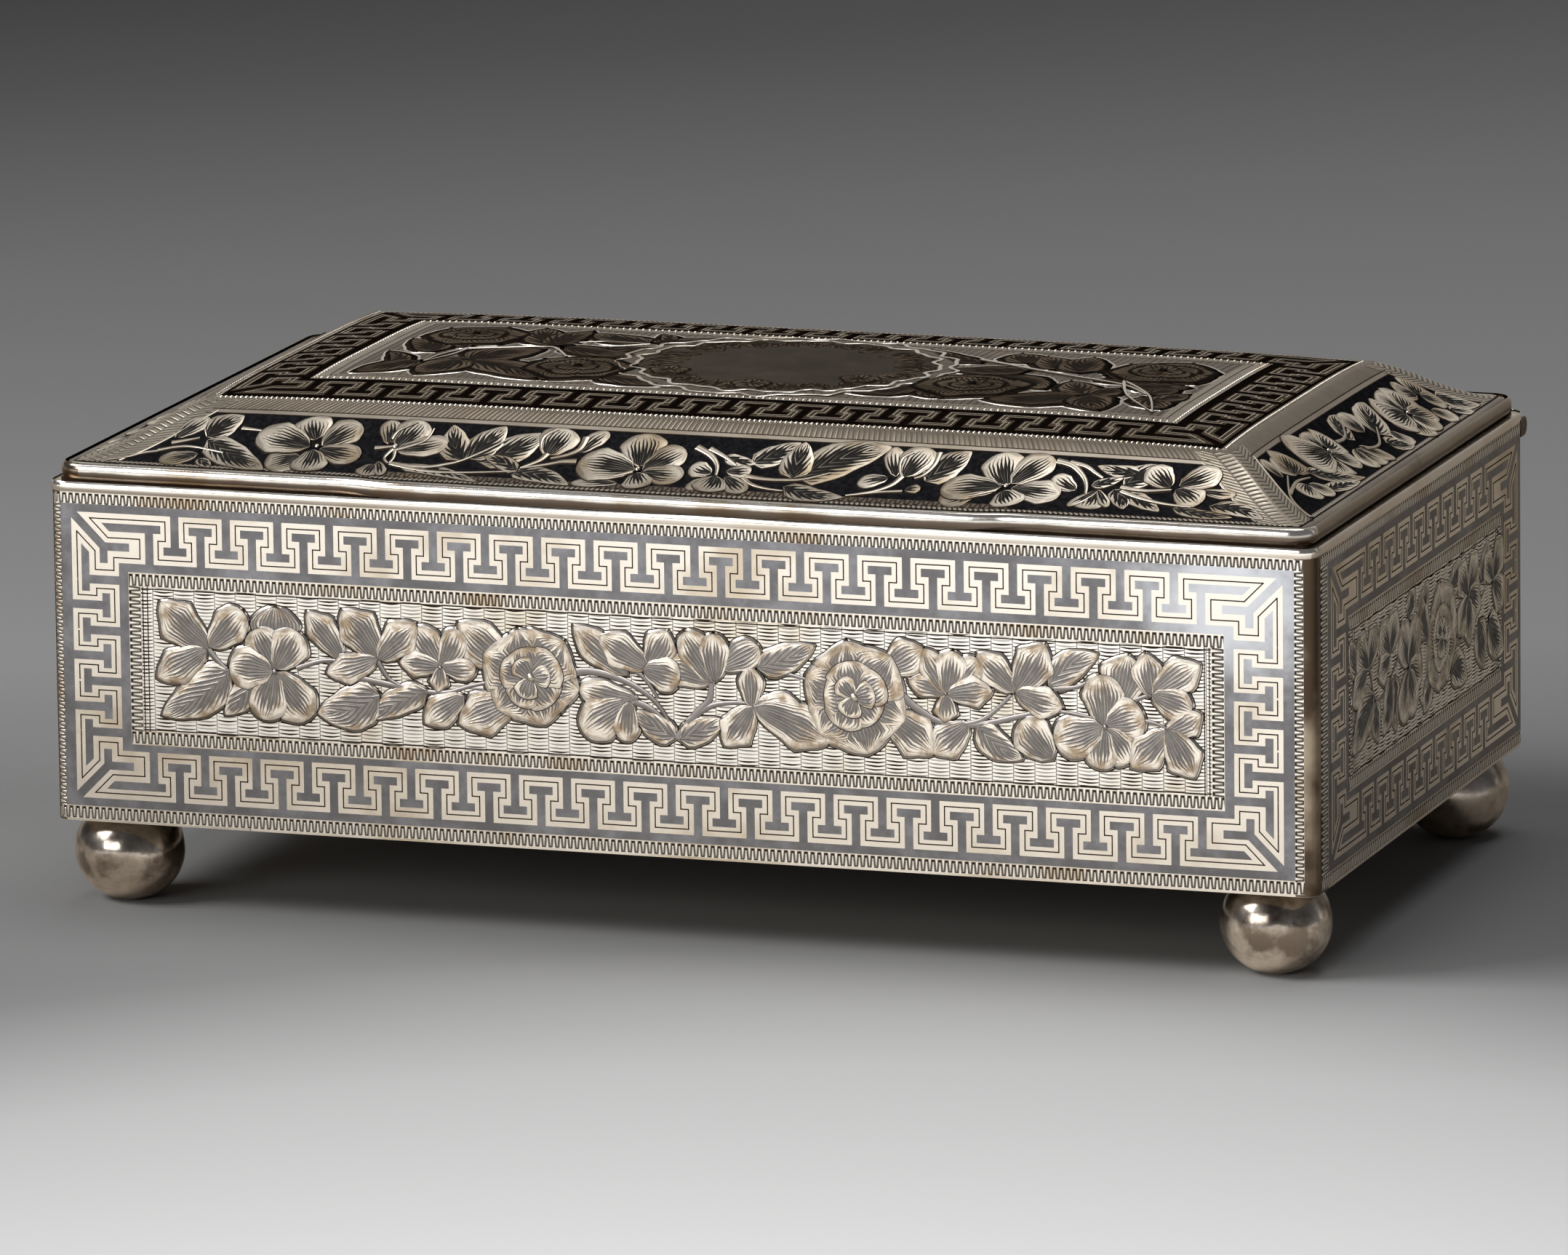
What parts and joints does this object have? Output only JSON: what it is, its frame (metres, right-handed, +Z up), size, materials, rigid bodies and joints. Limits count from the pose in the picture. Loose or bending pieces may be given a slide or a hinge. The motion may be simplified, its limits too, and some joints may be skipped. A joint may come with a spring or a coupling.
{
  "type": "casket",
  "caption": "Rectangular silver casket on ball feet, with niello-patterned walls and a hinged ogee lid with a swelling thumb lip.",
  "frame": {"origin": "on the ground, in the middle of the whole outline seen from above", "axes": "+X to the right along the length, -Y to the front, +Z up"},
  "size_m": [0.15, 0.087, 0.0586],
  "materials": {
    "plain_silver": "satin worn silver, lightly tarnished",
    "polished_silver": "bright polished silver with fine wear",
    "ball_foot_silver": "polished silver with brown tarnish",
    "wall_niello": "engraved silver with blue-grey niello",
    "lid_niello": "engraved silver with near-black niello",
    "gilt_silver": "worn gilding over silver"
  },
  "bodies": {
    "case": {"base_plate": "plain_silver", "front_wall": "wall_niello", "right_wall": "wall_niello", "back_wall": "wall_niello", "left_wall": "wall_niello", "front_inner_rim": "gilt_silver", "right_inner_rim": "gilt_silver", "back_inner_rim": "gilt_silver", "left_inner_rim": "gilt_silver", "front_left_foot": "ball_foot_silver", "back_left_foot": "ball_foot_silver", "front_right_foot": "ball_foot_silver", "back_right_foot": "ball_foot_silver", "case_hinge_knuckle_1": "plain_silver", "case_hinge_knuckle_2": "plain_silver", "case_hinge_knuckle_3": "plain_silver", "hinge_pin": "plain_silver"},
    "lid": {"lid_top_panel": "lid_niello", "lid_front_skirt": "lid_niello", "lid_front_lip": "polished_silver", "lid_right_skirt": "lid_niello", "lid_right_lip": "polished_silver", "lid_back_skirt": "lid_niello", "lid_back_lip": "polished_silver", "lid_left_skirt": "lid_niello", "lid_left_lip": "polished_silver", "lid_hinge_knuckle_1": "plain_silver", "lid_hinge_knuckle_2": "plain_silver"}
  },
  "joints": [
    {"name": "lid_hinge", "type": "hinge", "parent": "case", "child": "lid", "pos_m": [0, 0.0424, 0.0473], "axis": [-1, 0, 0], "range_deg": [0, 100]}
  ]
}
